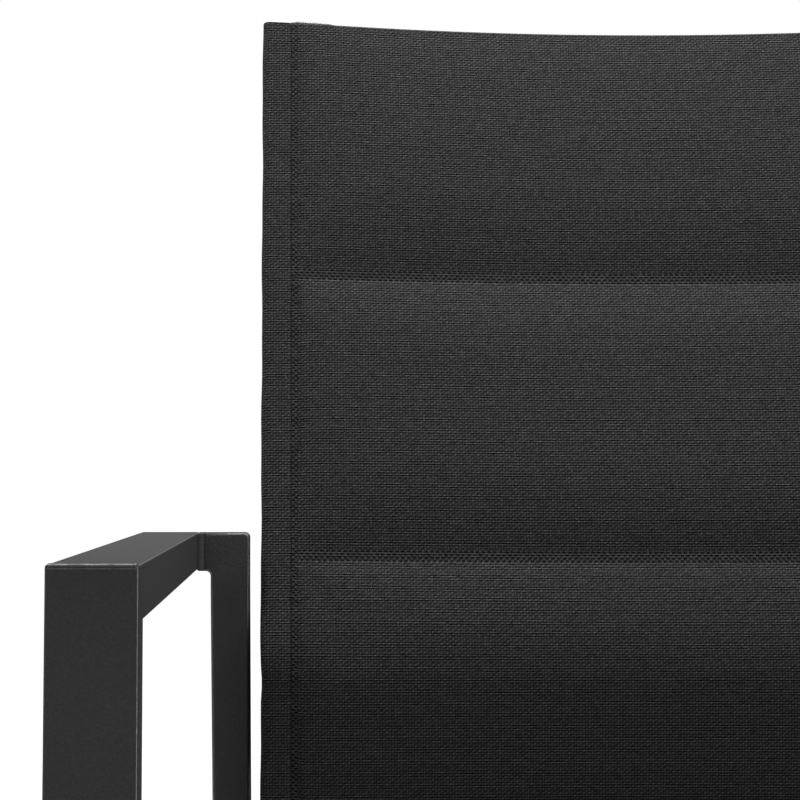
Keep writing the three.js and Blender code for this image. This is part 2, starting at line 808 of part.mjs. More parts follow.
// How much of its crown a channel has at a place, from 0 at the welds to 1 in its middle
function crownShare(x, s) {
  const channel = channels.find(({ from, to }) => s > from && s < to);
  const across = Math.abs(x) / padHalfWidth;
  if (!channel || across >= 1) return 0;
  const along = (s - channel.from) / (channel.to - channel.from);
  const sides = Math.sqrt(1 - across ** crownSideSharePower);
  return sides * Math.sqrt(4 * along * (1 - along));
}

function sagShare(x) {
  return Math.max(0, 1 - (x / padHalfWidth) ** 2);
}

// How far the sling's middle hangs behind the rails at a place along the line
function sagAt(s) {
  if (s < lumbar.start) return THREE.MathUtils.mapLinear(s, 0, lumbar.start, topSag, lumbarSag);
  const share = THREE.MathUtils.smoothstep(s, seatBend.start, seat.start);
  return THREE.MathUtils.lerp(lumbarSag, seatSag, share);
}

// A point of the sling: depth counts back from its front face, and crown stands proud of it
function slingPoint(x, s, depth, crown) {
  const dip = topEdgeDip * sagShare(x) * Math.max(0, 1 - s / topChannelLength);
  const height = crown * crownShare(x, s) - depth - sagAt(s) * sagShare(x);
  return slingPlace(x, s + dip, height);
}

// Grid lines along a stretch of the sling: those of the channels, and those of the line's arcs
function channelStations(from, to) {
  const inArc = (s) => slingLine.some(({ start, length, turn }) => (
    turn !== 0 && s > start && s < start + length));
  const rows = channels.flatMap((channel) => channelRowShares.map((share) => (
    channel.from + (channel.to - channel.from) * share)));
  const edges = channels.flatMap((channel) => [channel.from, channel.to]);
  return lineStations(from, to, [...rows.filter((s) => !inArc(s)), ...edges]);
}

function mirroredPlaces(places) {
  return [...places.slice(1).map((x) => -x).reverse(), ...places];
}

const padColumns = mirroredPlaces(channelColumnShares.map((share) => share * padHalfWidth));
const layerColumns = [-weldOuterX, ...padColumns, weldOuterX];
const backColumns = [fitGap - sleeveInnerX, ...padColumns, sleeveInnerX - fitGap];

function clothLayer(columns, depth, crown) {
  const stations = channelStations(0, slingEnd);
  const [front, back] = [depth, depth + clothThickness].map((level) => (
    stations.map((s) => columns.map((x) => slingPoint(x, s, level, crown)))));
  return wallBetween(front, back, false);
}

function slingFrontLayer() {
  return clothLayer(layerColumns, 0, frontCrown);
}

function slingBackLayer() {
  return clothLayer(backColumns, -backLayerFace, -backCrown);
}

// The padding of one channel: thin along its welded edges and full in its middle
function channelPad({ from, to }) {
  const stations = channelStations(from, to);
  const frontDepth = clothThickness + fitGap;
  const face = (depth, crown) => stations.map((s) => (
    padColumns.map((x) => slingPoint(x, s, depth, crown))));
  return wallBetween(
    face(frontDepth, frontCrown), face(frontDepth + padEdgeThickness, -backCrown), false);
}

// The sleeve starts beside the weld, runs round the rail and ends as a flange between the layers
function sleeveSections() {
  const outerRadius = railCornerRadius + sleeveWall;
  const half = railWidth / 2 + sleeveWall;
  const flat = half - outerRadius;
  const straight = sleeveDepth / 2 - outerRadius;
  const corners = [[1, 1, 1], [1, -1, 0], [-1, -1, -1]];
  const outer = [[weldOuterX + fitGap - railX, sleeveDepth / 2]];
  const inner = [[outer[0][0], sleeveDepth / 2 - clothThickness]];
  for (const [sx, sy, quarter] of corners) {
    for (let i = 0; i <= outlineCornerSteps; i++) {
      const angle = (quarter - i / outlineCornerSteps) * (Math.PI / 2);
      const at = (radius) => [
        sx * flat + radius * Math.cos(angle),
        sy * straight + radius * Math.sin(angle),
      ];
      outer.push(at(outerRadius));
      inner.push(at(outerRadius - clothThickness));
    }
  }
  const flangeTop = sleeveDepth / 2 - sleeveWall;
  const flangeEnd = weldInnerX - railX;
  outer.push([-half, flangeTop - clothThickness], [flangeEnd, flangeTop - clothThickness]);
  inner.push([clothThickness - half, flangeTop], [flangeEnd, flangeTop]);
  return [outer, inner];
}

function sleeve(side) {
  const stations = lineStations(0, slingEnd, [railStart, railEnd]);
  const [outer, inner] = sleeveSections().map((section) => stations.map((s) => (
    section.map(([u, v]) => slingPlace(side * (railX + u), s, railMiddle + v)))));
  const holes = boltPlaces.map((s) => (
    holeTool(side, s, -sleeveDepth, clothThickness, boltRadius + fitGap)));
  return cutAway(wallBetween(outer, inner, false), holes);
}

// The assembly

const chair = new THREE.Group();

function add(parent, name, geometry, material) {
  const mesh = new THREE.Mesh(geometry, material);
  mesh.name = name;
  parent.add(mesh);
  return mesh;
}

function addFrameSide(side, sideName) {
  const group = new THREE.Group();
  add(group, `${sideName}_front_leg`, frontLeg(side), powderCoat());
  add(group, `${sideName}_armrest`, armrest(side), powderCoat());
  add(group, `${sideName}_armrest_cap`, armrestCap(side), blackPlastic());
  add(group, `${sideName}_rear_leg`, rearLeg(side), powderCoat());
  add(group, `${sideName}_seat_side_tube`, seatSideTube(side), powderCoat());
  add(group, `${sideName}_front_glide`, frontGlide(side), blackPlastic());
  add(group, `${sideName}_rear_glide`, rearGlide(side), blackPlastic());
  chair.add(group);
}

function addRail(side, sideName) {
  const group = new THREE.Group();
  add(group, `${sideName}_sling_rail`, slingRail(side), powderCoat());
  add(group, `${sideName}_rail_top_cap`, railCap(side, railCapInset, 1), blackPlastic());
  add(group, `${sideName}_rail_front_cap`, railCap(side, slingEnd - railCapInset, -1), blackPlastic());
  add(group, `${sideName}_top_bar_cap`, topBarCap(side), blackPlastic());
  add(group, `${sideName}_front_saddle`, saddle(side, frontCrossbarAt), blackPlastic());
  add(group, `${sideName}_rear_saddle`, saddle(side, rearCrossbarAt), blackPlastic());
  add(group, `${sideName}_rail_sleeve`, sleeve(side), slingCloth());
  chair.add(group);
}

// A bolt with its washer and its insert, on the back of a bar
function addBolt(side, name, s, barBack) {
  const insertBack = railMiddle - railDepth / 2 + insertRecess;
  const washerBack = barBack - fitGap - washerThickness;
  const headSeat = washerBack - fitGap;
  const pieces = [
    ['bolt', bolt(insertBack + boltGrip - headSeat), headSeat],
    ['washer', ringShape(boltRadius + fitGap, washerRadius, washerThickness), washerBack],
    ['insert', ringShape(boltRadius + fitGap, insertOuterRadius, insertLength), insertBack],
  ];
  for (const [kind, geometry, height] of pieces) {
    const mesh = add(chair, `${name}_${kind}`, geometry, boltSteel());
    mesh.applyMatrix4(placementOnRail(side, s, height));
  }
}

for (const [side, sideName] of [[1, 'left'], [-1, 'right']]) {
  addFrameSide(side, sideName);
  addRail(side, sideName);
  const crossbarBack = crossbarMiddle - crossbarHeight / 2;
  addBolt(side, `${sideName}_top`, topBarDrop, topBarMiddle - topBarDepth / 2);
  addBolt(side, `${sideName}_rear`, rearCrossbarAt, crossbarBack);
  addBolt(side, `${sideName}_front`, frontCrossbarAt, crossbarBack);
}
add(chair, 'front_crossbar', crossbar(armInnerX - fitGap, frontCrossbarAt), powderCoat());
add(chair, 'rear_crossbar', crossbar(rearLegInnerX - fitGap, rearCrossbarAt), powderCoat());
add(chair, 'back_top_bar', topBar(), powderCoat());
add(chair, 'sling_front_layer', slingFrontLayer(), slingCloth());
add(chair, 'sling_back_layer', slingBackLayer(), slingCloth());
channels.forEach((channel, i) => {
  add(chair, `channel_pad_${i + 1}`, channelPad(channel), paddingFoam());
});

export default chair;
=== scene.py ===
# Looks of the sling patio chair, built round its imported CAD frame.
# Lengths are in metres and the places are the CAD's own: +Z up, the sitter faces -Y.
# On the sling, s is the length along its line from the top edge, x the place across the
# chair, and height the distance in front of the line.

import json
import math

import bpy
import numpy as np
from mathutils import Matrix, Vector


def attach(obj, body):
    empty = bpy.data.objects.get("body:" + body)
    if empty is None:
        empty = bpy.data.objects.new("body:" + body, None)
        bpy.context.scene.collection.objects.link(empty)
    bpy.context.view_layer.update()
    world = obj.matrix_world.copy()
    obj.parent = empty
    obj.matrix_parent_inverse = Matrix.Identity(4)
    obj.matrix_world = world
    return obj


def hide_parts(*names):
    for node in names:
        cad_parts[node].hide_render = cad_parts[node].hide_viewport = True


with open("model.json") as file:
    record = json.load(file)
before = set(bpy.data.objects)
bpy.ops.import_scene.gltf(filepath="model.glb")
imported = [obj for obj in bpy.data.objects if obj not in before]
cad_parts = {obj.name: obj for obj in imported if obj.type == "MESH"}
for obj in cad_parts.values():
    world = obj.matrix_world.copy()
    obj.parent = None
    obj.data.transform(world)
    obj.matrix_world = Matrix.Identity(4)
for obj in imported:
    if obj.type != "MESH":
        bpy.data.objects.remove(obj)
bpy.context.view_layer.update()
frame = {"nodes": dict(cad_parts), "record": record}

SIDES = ((1, "left"), (-1, "right"))

# Camera: it looks straight along +Y, and its shift moves the view to the photograph's crop
CAMERA_PLACE = (-0.205, -0.9494, 0.6784)
CAMERA_LENS, CAMERA_SENSOR = 92.43, 36
CAMERA_SHIFT = (0.13125, 0.1005)
CAMERA_CLIP = (0.05, 200)

# Smoothing of the CAD's own meshes
MERGE_DISTANCE = 1e-6
SPLIT_ANGLE = math.radians(50)
NORMAL_WEIGHT = 100

# The line that the sling's front face follows at its sides: where it starts and its heading
# from the vertical, then the length and turn of each stretch
LINE_START = (0.2484812, 0.946, math.radians(13.7))
LINE_STRETCHES = (
    (0.3625783, 0.0),
    (0.0219981, math.radians(-13.7)),
    (0.0999482, 0.0),
    (0.1148427, math.radians(94)),
    (0.3632493, 0.0),
    (0.0293215, math.radians(-35)),
)
LUMBAR_START, LUMBAR_END = 0.3625783, 0.3845764
SEAT_BEND = (0.4845247, 0.5993674)
SLING_END = 0.9919382
WELDS = (0.0, 0.155, 0.3174, 0.480, 0.6079846, 0.7359691, 0.8639537, SLING_END)
BACK_WELD = WELDS[3]
SEAT_CHANNEL = (SLING_END - BACK_WELD) / 4

# The sling across the chair: edges of the welds, of the pads and of the back layer
WELD_OUTER, WELD_INNER = 0.2075, 0.2031
PAD_EDGE, BACK_EDGE = 0.2028, 0.2067
WELD_HALF = 0.003

# How far the sling's middle hangs back, at the top, lumbar bend and seat, and how much more
# it settles below the lumbar bend
TOP_SAG, LUMBAR_SAG, SEAT_SAG = 0.0125, 0.005, 0.012
LUMBAR_SETTLE = 0.002

# The dip of the top edge, which fades over the first channel, and its hem
TOP_DIP, TOP_HEM, TOP_FADE = 0.0019, 0.0005, 0.156

# The channels: how far they rise, where the back face lies, how deep the welds are pressed
# and how fast that fades as the channel rises
FRONT_CROWN, BACK_CROWN = 0.004, 0.005
BACK_FACE = -0.0042
WELD_PRESS, PRESS_FADE = 0.0005, 6
# Powers of the rise below its upper weld, above its lower weld and towards its ends, and the
# share of it that the top channel has at its edge
UPPER_POWER, LOWER_POWER, END_POWER = 9, 3, 6
TOP_SHARE = 0.35

# The panel's mesh: rows in a channel, columns to each side, and the columns past the pads
CHANNEL_STEPS, SIDE_STEPS = 18, 20
EDGE_COLUMNS = (0.0009, 0.0024, 0.0040, WELD_OUTER - PAD_EDGE)

# The swelling of the panel by Blender's Cloth
START_SHARE, SWELL_CAP = 0.8, 0.001
LAST_FRAME, CLOTH_QUALITY = 20, 5
CLOTH_MASS, CLOTH_PRESSURE = 0.01, 4
CLOTH_STRETCH, CLOTH_SHEAR, CLOTH_BEND = 40, 20, 2
TINY = 1e-9

# The sleeves round the rails: middle of the rail, half width, depth and corners of the
# sleeve, and the cloth's thickness
RAIL_X, RAIL_MIDDLE = 0.2152, -0.014
SLEEVE_HALF, SLEEVE_DEPTH, SLEEVE_RADIUS = 0.0085, 0.028, 0.0042
CLOTH, CORNER_STEPS = 0.0012, 6
# Places past the weld's edge, and how far the cloth lies below the sleeve's face there
SLEEVE_SEAM = ((-0.0002, WELD_PRESS), (0.0012, 0.0001), (0.004, 0.0))
FLANGE_STEP = 0.0015
SLEEVE_ROWS = (
    (0, 0.36, 46),
    (0.3626, 0.3846, 12),
    (0.39, 0.48, 12),
    (0.4845, 0.5994, 40),
    (0.607, 0.957, 44),
    (0.9626, SLING_END, 16),
)
# The top edge falls towards the panel, and the outer side puckers at the lumbar bend and
# wanders a little: size, waves along the sling and shift of each wave
SLEEVE_DROP, DROP_FADE = 0.0008, 0.02
OUTER_FROM, OUTER_SPAN = 0.003, 0.0055
WANDERS = ((0.00018, 61.0, 1), (0.00012, 149.0, 2))
PUCKER, PUCKER_PLACE, PUCKER_HALF = 0.0005, 0.388, 0.006
SLEEVE_SHARP = 60

# The wadding that shows at the top corners, with the size, waves and shift of its tufts
WADDING_SPAN, WADDING_RADIUS, WADDING_DEPTH = (0.182, 0.2078), 0.001, 1.2
WADDING_RINGS, WADDING_CORNERS = 60, 12
TAPER_POWER, TAPER_END = 4, 0.002
TUFTS = ((0.12, 2100.0, 0), (0.09, 3700.0, 1))

# Weld beads: places of the armrest's weld to the rear leg (the head) and of its mitre
ARM_INNER, ARM_OUTER = 0.2574, 0.2896
HEAD_FRONT, HEAD_REAR, HEAD_LOW, HEAD_HIGH = 0.1638, 0.1833, 0.6303, 0.6496
HEAD_BEADS = (("front", HEAD_FRONT, 0.004), ("rear", HEAD_REAR, 0.0014))
HEAD_LOWER_RADIUS, HEAD_RIPPLE = 0.0008, 0.25
MITRE_BEADS = (("outer", (-0.25555, 0.64915), 0.0013), ("inner", (-0.2378, 0.6297), 0.0016))
MITRE_INSET, MITRE_RIPPLE = 0.0011, 0.6
JOINT_RADIUS, SIDE_TUBE_END, CROSSBAR_END = 0.0015, 0.006, 0.0001
BEAD_STEP, BEAD_CORNERS, NUDGE = 0.0004, 8, 1e-7
BEAD_WAVES = ((0.05, 2 * math.pi / 0.0017), (0.03, 2900.0))

# Noise mostly stays in this range
NOISE_RANGE = (0.3, 0.7)

# The paint. Scales of noise are in waves to a metre
PAINT_COLOUR, PAINT_METAL = (0.065, 0.065, 0.0655), 0.415
GRAIN_SCALE, LEATHER_SCALE, CLOUD_SCALE, EDGE_PATCH_SCALE = 1600.0, 950.0, 9.0, 260.0
CLOUD_TONES, LEATHER_TONES, EDGE_PATCH_TONES = (0.95, 1.05), (0.9, 1.1), (0.5, 1.0)
# EDGE_GAIN lightens the paint at its edges: partly wear, partly a painted highlight
PAINT_ROUGH, EDGE_GAIN, EDGE_POLISH = (0.46, 0.58), 1.7, -0.34
LEATHER_HEIGHT, PAINT_BUMP = 2.0, (0.8, 0.00012)
# Largest part of the normal where the edge's lightening, partly wear and partly a painted
# highlight, starts and where it is full. That part is 0.577 at the least, so the last gives none
TUBE_WEAR_AND_HIGHLIGHT, BEAD_WEAR_AND_HIGHLIGHT, NO_WEAR_NOR_HIGHLIGHT = (0.91, 0.8), (0.995, 0.86), (0.5, 0.3)

# The weave: pitches of its yarns, and heights of its waves
WARP_PITCH, WEFT_PITCH, LINING_PITCH = 0.00157, 0.00129, 0.00162
TWILL, COUNTER_TWILL = 0.29, 0.08
WEFT_RIDGE, LINING_RIDGE, WARP_RIDGE = 0.36, 0.4, 0.23
STREAK_LENGTH, STREAK_SHIFT, STREAK_TONES = 0.006, 7.3, (0.35, 1.65)
# Tones of the yarns and their rows at random, and the least tone of the painted shade between the
# yarns
CELL_TONES, ROW_TONES, HOLLOW_SHADE_TONE = (0.78, 1.22), (0.95, 1.05), 0.02
CLOTH_COLOUR, CLOTH_ROUGH, CLOTH_SHINE = (0.0608, 0.0606, 0.0608), 0.8, 0.02
CLOTH_BUMP = (0.5, 0.0003)

# The welding tool's print: dashes in rows across the sling and in columns along its sides
DASH_PITCH, DASH_ROW, COLUMN_ROW = 0.00317, 0.00172, 0.00152
DASH_ENDS, DASH_SIDES = (0.13, 0.25), (0.42, 0.24)
PRINT_HALF, PRINT_LIGHT, PRINT_DARK = 0.0034, 1.3, 0.22

# Studio. The camera and reflections see a pale floor, which glows less near the chair, and a
# white world. All other rays meet a dark floor and a dim world
WHITE = (1, 1, 1, 1)
FLOOR_COLOUR, FLOOR_SHADE, FLOOR_HALF = (0.8, 0.8, 0.8, 1), (0.22, 0.22, 0.22, 1), 30.0
GLOW_REACH, GLOW_STRENGTH = (0.8, 4.0), (0.35, 1.0)
WORLD_DIM = 0.034
LAMPS = (
    # name, place, target, width, height, watts
    ("overhead", (0, 0.4, 2.2), (0, 0.4, 0), 2.6, 1.5, 77),
    ("edge_light", (2.9, -1.2, 0.7), (-0.25, -0.25, 0.5), 0.7, 0.9, 15),
    ("far_edge_light", (-2.9, -1.2, 0.7), (0.25, -0.25, 0.5), 0.7, 0.9, 2),
    ("back_fill", (0, 2.2, 2.4), (0, 0.2, 0.5), 1.4, 1.4, 13),
)


def make_camera():
    data = bpy.data.cameras.new("photo_camera")
    data.lens, data.sensor_width = CAMERA_LENS, CAMERA_SENSOR
    data.shift_x, data.shift_y = CAMERA_SHIFT
    data.clip_start, data.clip_end = CAMERA_CLIP
    camera = bpy.data.objects.new("photo_camera", data)
    camera.location = CAMERA_PLACE
    camera.rotation_euler = (math.pi / 2, 0, 0)
    bpy.context.scene.collection.objects.link(camera)
    bpy.context.scene.camera = camera


# Materials


class Graph:
    """The node tree of a material or world, with short calls for its nodes."""

    def __init__(self, owner):
        owner.use_nodes = True
        self.owner, self.tree = owner, owner.node_tree
        self.tree.nodes.clear()

    def put(self, socket, value):
        if isinstance(value, bpy.types.NodeSocket):
            self.tree.links.new(value, socket)
        else:
            socket.default_value = value

    def node(self, kind, inputs=None, **settings):
        made = self.tree.nodes.new(kind)
        for key, value in settings.items():
            setattr(made, key, value)
        for key, value in (inputs or {}).items():
            self.put(made.inputs[key], value)
        return made

    def math(self, operation, *values):
        made = self.node("ShaderNodeMath", dict(enumerate(values)), operation=operation)
        return made.outputs[0]

    def object_place(self):
        return self.node("ShaderNodeTexCoord").outputs["Object"]

    def vector(self, x, y, z=0.0):
        return self.node("ShaderNodeCombineXYZ", {"X": x, "Y": y, "Z": z}).outputs[0]

    def noise(self, vector, scale, detail=2.0, roughness=0.5):
        inputs = {"Vector": vector, "Scale": scale, "Detail": detail, "Roughness": roughness}
        return self.node("ShaderNodeTexNoise", inputs).outputs["Fac"]

    def cell_noise(self, dimensions, **inputs):
        made = self.node("ShaderNodeTexWhiteNoise", inputs, noise_dimensions=dimensions)
        return made.outputs["Value"]

    def ramp(self, value, low, high, to_low, to_high):
        """A value mapped from one range to another, and kept inside it."""
        limits = {"From Min": low, "From Max": high, "To Min": to_low, "To Max": to_high}
        return self.node("ShaderNodeMapRange", {"Value": value, **limits}).outputs["Result"]

    def tone(self, noise, low, high):
        """Noise as a tone from low to high."""
        return self.ramp(noise, *NOISE_RANGE, low, high)

    def mix(self, share, first, second):
        return self.node("ShaderNodeMix", {0: share, 2: first, 3: second}).outputs[0]

    def shade(self, colour, amount):
        made = self.node("ShaderNodeVectorMath", {0: colour, "Scale": amount}, operation="SCALE")
        return made.outputs[0]

    def bump(self, height, strength, distance):
        inputs = {"Height": height, "Strength": strength, "Distance": distance}
        return self.node("ShaderNodeBump", inputs).outputs["Normal"]

    def finish(self, shader, output="ShaderNodeOutputMaterial"):
        self.node(output, {"Surface": shader})
        return self.owner

    def principled(self, **inputs):
        names = {name.replace("_", " "): value for name, value in inputs.items()}
        return self.finish(self.node("ShaderNodeBsdfPrincipled", names).outputs[0])


def new_material(name):
    return Graph(bpy.data.materials.new(name))


def powder_coat(name, lighten_from, lighten_to):
    """Dark paint, lighter where the surface turns from one flat side to the next, as wear and a
    painted highlight.
    """
    g = new_material(name)
    spot = g.object_place()
    grain = g.noise(spot, GRAIN_SCALE, 3.0, 0.6)
    leather = g.noise(spot, LEATHER_SCALE)
    cloud = g.noise(spot, CLOUD_SCALE, 3.0)
    normal = g.node("ShaderNodeNewGeometry").outputs["Normal"]
    size = g.node("ShaderNodeVectorMath", {0: normal}, operation="ABSOLUTE").outputs[0]
    parts = g.node("ShaderNodeSeparateXYZ", {"Vector": size}).outputs
    largest = g.math("MAXIMUM", g.math("MAXIMUM", parts["X"], parts["Y"]), parts["Z"])
    # The edges' lightening is partly wear and partly a painted highlight, made patchy by noise
    wear_and_highlight = g.ramp(largest, lighten_from, lighten_to, 0.0, 1.0)
    patchy_wear_and_highlight = g.math("MULTIPLY", wear_and_highlight, g.tone(g.noise(spot, EDGE_PATCH_SCALE), *EDGE_PATCH_TONES))
    cloudy = g.math("MULTIPLY", g.tone(cloud, *CLOUD_TONES), g.tone(leather, *LEATHER_TONES))
    return g.principled(
        Base_Color=g.shade(PAINT_COLOUR, g.math("MULTIPLY_ADD", patchy_wear_and_highlight, EDGE_GAIN, cloudy)),
        Metallic=PAINT_METAL,
        Roughness=g.math("MULTIPLY_ADD", patchy_wear_and_highlight, EDGE_POLISH, g.tone(grain, *PAINT_ROUGH)),
        Specular_IOR_Level=0.0,
        Specular_Tint=(0, 0, 0, 1),
        Normal=g.bump(g.math("MULTIPLY_ADD", leather, LEATHER_HEIGHT, grain), *PAINT_BUMP),
    )


def grained(name, colour, tones, noise, bump, rough_tones=None, **sockets):
    """A plain material, whose tone and perhaps roughness follow the noise of its grain."""
    g = new_material(name)
    grain = g.noise(g.object_place(), *noise)
    if rough_tones:
        sockets["Roughness"] = g.tone(grain, *rough_tones)
    return g.principled(
        Base_Color=g.shade(colour, g.tone(grain, *tones)), Normal=g.bump(grain, *bump), **sockets
    )


def signed_distance_to_weld(g, along):
    """How far a place lies below the nearest weld across the sling, less than 0 above it."""
    first, second = g.math("SUBTRACT", along, WELDS[1]), g.math("SUBTRACT", along, WELDS[2])
    below_first = g.math("GREATER_THAN", along, (WELDS[1] + WELDS[2]) / 2)
    back = g.mix(below_first, first, second)
    past_back = g.math("SUBTRACT", along, BACK_WELD)
    seat = g.math("WRAP", past_back, SEAT_CHANNEL / 2, -SEAT_CHANNEL / 2)
    on_seat = g.math("GREATER_THAN", along, (WELDS[2] + BACK_WELD) / 2)
    return g.mix(on_seat, back, seat)


def weld_dashes(g, across, along, row_pitch):
    """Tones of the welding tool's dark dashes, which lie like the bricks of a wall."""
    row = g.math("ADD", g.math("DIVIDE", along, row_pitch), 0.5)
    row_no = g.math("ROUND", row)
    run = g.math("MULTIPLY_ADD", row_no, 0.5, g.math("DIVIDE", across, DASH_PITCH))
    off_end = g.math("PINGPONG", run, 0.5)
    off_row = g.math("ABSOLUTE", g.math("SUBTRACT", row, row_no))
    in_run = g.ramp(off_end, *DASH_ENDS, 0.0, 1.0)
    in_row = g.ramp(off_row, *DASH_SIDES, 0.0, 1.0)
    return g.ramp(g.math("MULTIPLY", in_run, in_row), 0.0, 1.0, PRINT_LIGHT, PRINT_DARK)


def weld_print(g, across, along):
    """1 in the welds, and the tones of the welding tool's print."""
    off_weld = signed_distance_to_weld(g, along)
    off_middle = g.math("ABSOLUTE", across)
    inside = g.math("LESS_THAN", off_middle, WELD_INNER)
    in_rows = g.math("LESS_THAN", g.math("ABSOLUTE", off_weld), PRINT_HALF)
    beyond = g.math("SUBTRACT", off_middle, (WELD_OUTER + WELD_INNER) / 2)
    in_columns = g.math("LESS_THAN", g.math("ABSOLUTE", beyond), (WELD_OUTER - WELD_INNER) / 2)
    in_weld = g.math("MAXIMUM", g.math("MULTIPLY", in_rows, inside), in_columns)
    row_tones = weld_dashes(g, across, off_weld, DASH_ROW)
    column_tones = weld_dashes(g, across, along, COLUMN_ROW)
    return in_weld, g.mix(in_columns, row_tones, column_tones)


def ridges(g, value, turns, height):
    """Waves of a height, with so many half turns to a unit of the value."""
    wave = g.math("COSINE", g.math("MULTIPLY", value, turns * math.pi))
    return g.math("MULTIPLY", wave, height)


def weave(g, across, along):
    """Heights of the cloth's yarns about their mean, and the tone of each yarn."""
    warp, weft = g.math("DIVIDE", across, WARP_PITCH), g.math("DIVIDE", along, WEFT_PITCH)
    warp_no, weft_no = g.math("ROUND", warp), g.math("ROUND", weft)
    twill = ridges(g, g.math("ADD", warp, weft), 1, TWILL)
    counter_twill = ridges(g, g.math("SUBTRACT", warp, weft), 1, COUNTER_TWILL)
    lining = ridges(g, along, 2 / LINING_PITCH, LINING_RIDGE)
    rows = g.math("ADD", ridges(g, weft, 2, WEFT_RIDGE), lining)
    row_shift = g.math("MULTIPLY", weft_no, STREAK_SHIFT)
    stretch = g.vector(g.math("DIVIDE", across, STREAK_LENGTH), row_shift)
    rows = g.math("MULTIPLY", rows, g.tone(g.noise(stretch, 1.0, 1.0), *STREAK_TONES))
    height = g.math("ADD", g.math("ADD", twill, counter_twill), rows)
    height = g.math("ADD", height, ridges(g, warp, 2, WARP_RIDGE))
    cell = g.cell_noise("2D", Vector=g.vector(warp_no, weft_no))
    row = g.cell_noise("1D", W=weft_no)
    tone = g.ramp(cell, 0.0, 1.0, *CELL_TONES)
    return height, g.math("MULTIPLY", tone, g.ramp(row, 0.0, 1.0, *ROW_TONES))


def sling_cloth():
    """Coated yarns in an even weave, with painted shade between the yarns and painted light on
    their crests. The map holds the place across and along in metres.
    """
    g = new_material("sling_cloth")
    spot = g.node("ShaderNodeUVMap", uv_map="cloth_map").outputs["UV"]
    parts = g.node("ShaderNodeSeparateXYZ", {"Vector": spot}).outputs
    height, yarn = weave(g, parts["X"], parts["Y"])
    in_weld, print_tone = weld_print(g, parts["X"], parts["Y"])
    # The tone follows the yarns' height: painted shade in the hollows between them and painted
    # light on their crests
    weave_shade_and_light = g.math("MAXIMUM", g.math("ADD", height, 1.0), HOLLOW_SHADE_TONE)
    body, pressed = g.math("MULTIPLY", weave_shade_and_light, yarn), g.math("MULTIPLY", print_tone, yarn)
    return g.principled(
        Base_Color=g.shade(CLOTH_COLOUR, g.mix(in_weld, body, pressed)),
        Roughness=CLOTH_ROUGH,
        Specular_IOR_Level=CLOTH_SHINE,
        Normal=g.bump(height, *CLOTH_BUMP),
    )


MATERIALS = {
    "frame": powder_coat("powder_coat", *TUBE_WEAR_AND_HIGHLIGHT),
    "plastic": grained(
        "black_plastic",
        (0.016, 0.016, 0.017),
        tones=(0.85, 1.15),
        noise=(900.0,),
        bump=(0.4, 0.0001),
        rough_tones=(0.5, 0.62),
        Specular_IOR_Level=0.4,
    ),
    "bolt_steel": grained(
        "bolt_steel",
        (0.5, 0.51, 0.52),
        tones=(0.9, 1.05),
        noise=(2200.0,),
        bump=(0.2, 0.00004),
        rough_tones=(0.28, 0.42),
        Metallic=1.0,
    ),
    "sling_cloth": sling_cloth(),
    "padding": grained(
        "wadding",
        (0.5, 0.5, 0.49),
        tones=(0.7, 1.2),
        noise=(700.0, 4.0, 0.7),
        bump=(0.8, 0.0006),
        Roughness=0.95,
        Specular_IOR_Level=0.2,
    ),
}
# The beads are lightened over most of their round, partly as wear and partly as a painted
# highlight; the head's beads are not
WELD_COAT = powder_coat("weld_coat", *BEAD_WEAR_AND_HIGHLIGHT)
HEAD_WELD_COAT = powder_coat("head_weld_coat", *NO_WEAR_NOR_HIGHLIGHT)


def dress_cad_nodes():
    slots = {p["node"]: p["material_slot"] for p in frame["record"]["subparts"]}
    for name, obj in frame["nodes"].items():
        obj.data.materials.clear()
        obj.data.materials.append(MATERIALS[slots[name]])
        weld = obj.modifiers.new("weld", "WELD")
        weld.merge_threshold = MERGE_DISTANCE
        split = obj.modifiers.new("split", "EDGE_SPLIT")
        split.split_angle, split.use_edge_sharp = SPLIT_ANGLE, False
        normals = obj.modifiers.new("normals", "WEIGHTED_NORMAL")
        normals.keep_sharp, normals.weight = False, NORMAL_WEIGHT


# Geometry of the sling


def follow(spot, run, length, turn):
    """Place and heading after a run along a stretch, which has a length and a turn."""
    y, z, heading = spot
    if turn == 0:
        return y - run * math.sin(heading), z - run * math.cos(heading), heading + 0 * run
    radius = length / turn
    now = heading + run / radius
    ahead = radius * (np.cos(now) - math.cos(heading))
    return y + ahead, z - radius * (np.sin(now) - math.sin(heading)), now


def line_at(s):
    """Place and heading of the sling's line at the lengths s."""
    spot, start = LINE_START, 0.0
    out = np.zeros(s.shape + (3,))
    for i, (length, turn) in enumerate(LINE_STRETCHES):
        run = s - start
        reached = (run >= 0) | (i == 0)
        here = np.stack(follow(spot, run, length, turn), -1)
        out = np.where(reached[..., None], here, out)
        spot = follow(spot, length, length, turn)
        start += length
    return out


def place(x, s, height):
    """Points at x across the chair, s along the sling's line and height in front of it."""
    line = line_at(s)
    y, z, heading = line[..., 0], line[..., 1], line[..., 2]
    x, height = np.broadcast_to(x, y.shape), np.broadcast_to(height, y.shape)
    return np.stack([x, y - height * np.cos(heading), z + height * np.sin(heading)], -1)


def sag_share(x):
    return np.maximum(0, 1 - (x / PAD_EDGE) ** 2)


def smooth_step(s, low, high):
    t = np.clip((s - low) / (high - low), 0, 1)
    return t * t * (3 - 2 * t)


def sag(s):
    """How far the middle of the sling hangs behind its sides."""
    back = TOP_SAG + (LUMBAR_SAG - TOP_SAG) * np.minimum(s / LUMBAR_START, 1)
    settled = back + LUMBAR_SETTLE * smooth_step(s, WELDS[2], LUMBAR_END)
    return settled + (SEAT_SAG - LUMBAR_SAG - LUMBAR_SETTLE) * smooth_step(s, *SEAT_BEND)


def sling_point(x, s, height):
    """A point of the sling, with the sag of its middle and the dip of its top edge."""
    dip = (TOP_HEM + TOP_DIP * sag_share(x)) * np.maximum(0, 1 - s / TOP_FADE)
    return place(x, s + dip, height - sag(s) * sag_share(x))


# Meshes


